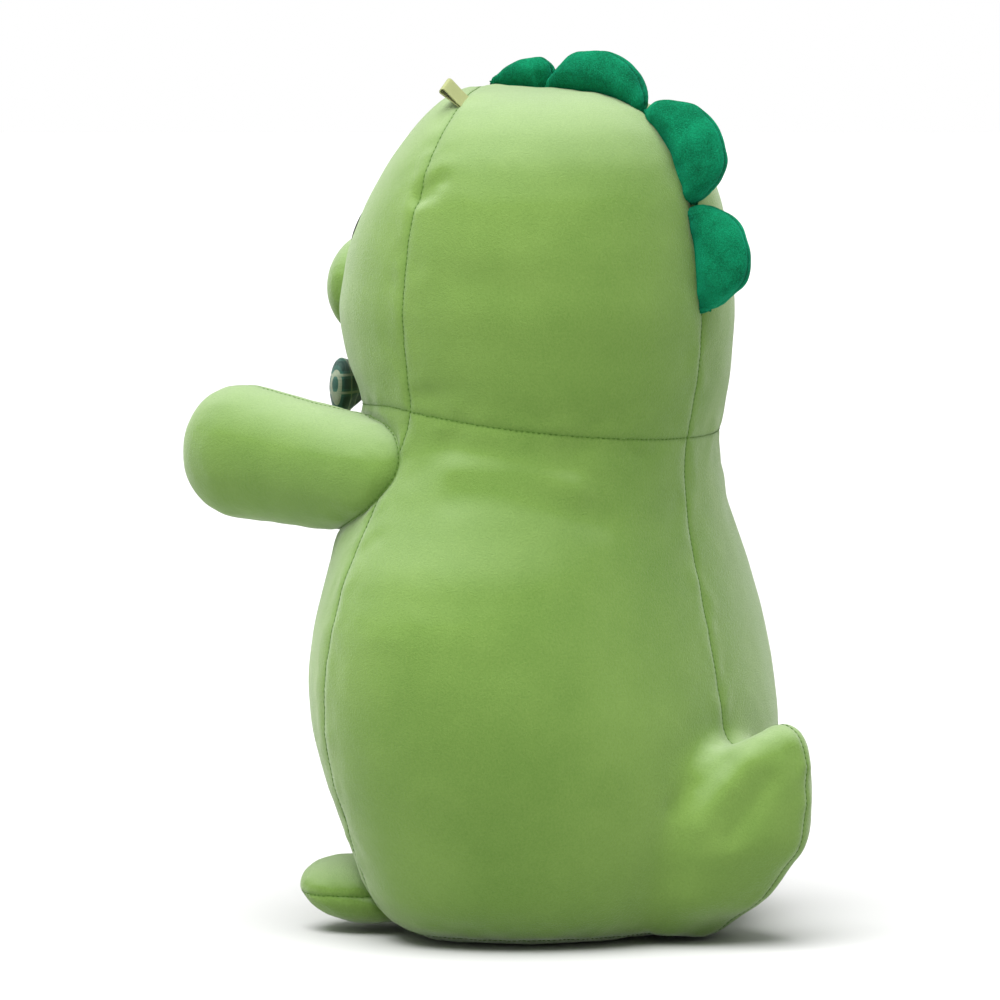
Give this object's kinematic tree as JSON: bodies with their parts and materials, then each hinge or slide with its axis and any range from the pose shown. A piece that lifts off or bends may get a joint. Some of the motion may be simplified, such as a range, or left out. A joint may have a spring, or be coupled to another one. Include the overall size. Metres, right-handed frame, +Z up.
{
  "type": "stuffed dinosaur",
  "caption": "Seated plush dinosaur with forward hugging arms, stub feet, a curled tail, a padded back crest, a bow and a ribbon loop.",
  "frame": {"origin": "middle of the base, on the surface that the dinosaur sits on", "axes": "+Z up; the dinosaur faces -Y and its left side is +X"},
  "size_m": [0.288, 0.3154, 0.4422],
  "materials": {
    "green_plush": "matte",
    "crest_velvet": "matte",
    "stuffing": "matte",
    "embroidery": "matte",
    "bow_plaid": "matte",
    "satin_ribbon": "matte"
  },
  "bodies": {
    "torso": {"face_panel": "green_plush", "head_panel_left": "green_plush", "head_panel_right": "green_plush", "head_stuffing": "stuffing", "snout_cover": "green_plush", "snout_stuffing": "stuffing", "eye_left": "embroidery", "eye_right": "embroidery", "nostrils": "embroidery", "mouth_stitch": "embroidery", "belly_panel": "green_plush", "side_panel_left": "green_plush", "side_panel_right": "green_plush", "base_panel": "green_plush", "body_stuffing": "stuffing", "tail_stuffing": "stuffing", "bow_loop_left": "bow_plaid", "bow_loop_right": "bow_plaid", "bow_knot": "bow_plaid"},
    "arm_left": {"arm_left_outer": "green_plush", "arm_left_inner": "green_plush", "arm_left_stuffing": "stuffing"},
    "arm_right": {"arm_right_outer": "green_plush", "arm_right_inner": "green_plush", "arm_right_stuffing": "stuffing"},
    "foot_left": {"foot_left_top": "green_plush", "foot_left_sole": "green_plush", "foot_left_stuffing": "stuffing"},
    "foot_right": {"foot_right_top": "green_plush", "foot_right_sole": "green_plush", "foot_right_stuffing": "stuffing"},
    "spike_1": {"spike_1_left": "crest_velvet", "spike_1_right": "crest_velvet", "spike_1_stuffing": "stuffing"},
    "spike_2": {"spike_2_left": "crest_velvet", "spike_2_right": "crest_velvet", "spike_2_stuffing": "stuffing"},
    "spike_3": {"spike_3_left": "crest_velvet", "spike_3_right": "crest_velvet", "spike_3_stuffing": "stuffing"},
    "spike_4": {"spike_4_left": "crest_velvet", "spike_4_right": "crest_velvet", "spike_4_stuffing": "stuffing"},
    "hang_loop": {"hang_loop": "satin_ribbon"}
  },
  "joints": [
    {"name": "left_arm_hug", "type": "hinge", "parent": "torso", "child": "arm_left", "pos_m": [0.08, -0.038, 0.229], "axis": [0, 0, 1], "range_deg": [-14, 24], "stiffness_Nm_per_rad": 0.6},
    {"name": "right_arm_hug", "type": "hinge", "parent": "torso", "child": "arm_right", "pos_m": [-0.08, -0.038, 0.229], "axis": [0, 0, -1], "range_deg": [-14, 24], "stiffness_Nm_per_rad": 0.6},
    {"name": "left_foot_flex", "type": "hinge", "parent": "torso", "child": "foot_left", "pos_m": [0.062, -0.0361, 0.0287], "axis": [-1, 0, 0], "range_deg": [0, 25], "stiffness_Nm_per_rad": 0.4},
    {"name": "right_foot_flex", "type": "hinge", "parent": "torso", "child": "foot_right", "pos_m": [-0.062, -0.0361, 0.0287], "axis": [-1, 0, 0], "range_deg": [0, 25], "stiffness_Nm_per_rad": 0.4},
    {"name": "spike_1_lean", "type": "hinge", "parent": "torso", "child": "spike_1", "pos_m": [0, -0.01344, 0.42415], "axis": [0, 0.9994, -0.0336], "range_deg": [-18, 18], "stiffness_Nm_per_rad": 0.05},
    {"name": "spike_2_lean", "type": "hinge", "parent": "torso", "child": "spike_2", "pos_m": [0, 0.03381, 0.4194], "axis": [0, 0.978, -0.2088], "range_deg": [-18, 18], "stiffness_Nm_per_rad": 0.05},
    {"name": "spike_3_lean", "type": "hinge", "parent": "torso", "child": "spike_3", "pos_m": [0, 0.07868, 0.3892], "axis": [0, 0.5171, -0.8559], "range_deg": [-18, 18], "stiffness_Nm_per_rad": 0.05},
    {"name": "spike_4_lean", "type": "hinge", "parent": "torso", "child": "spike_4", "pos_m": [0, 0.0947, 0.33918], "axis": [0, 0.1318, -0.9913], "range_deg": [-18, 18], "stiffness_Nm_per_rad": 0.05},
    {"name": "hang_loop_flip", "type": "hinge", "parent": "torso", "child": "hang_loop", "pos_m": [0.0524, -0.01299, 0.41602], "axis": [-0.8731, -0.2393, 0.4247], "range_deg": [-35, 35], "stiffness_Nm_per_rad": 0.002}
  ]
}
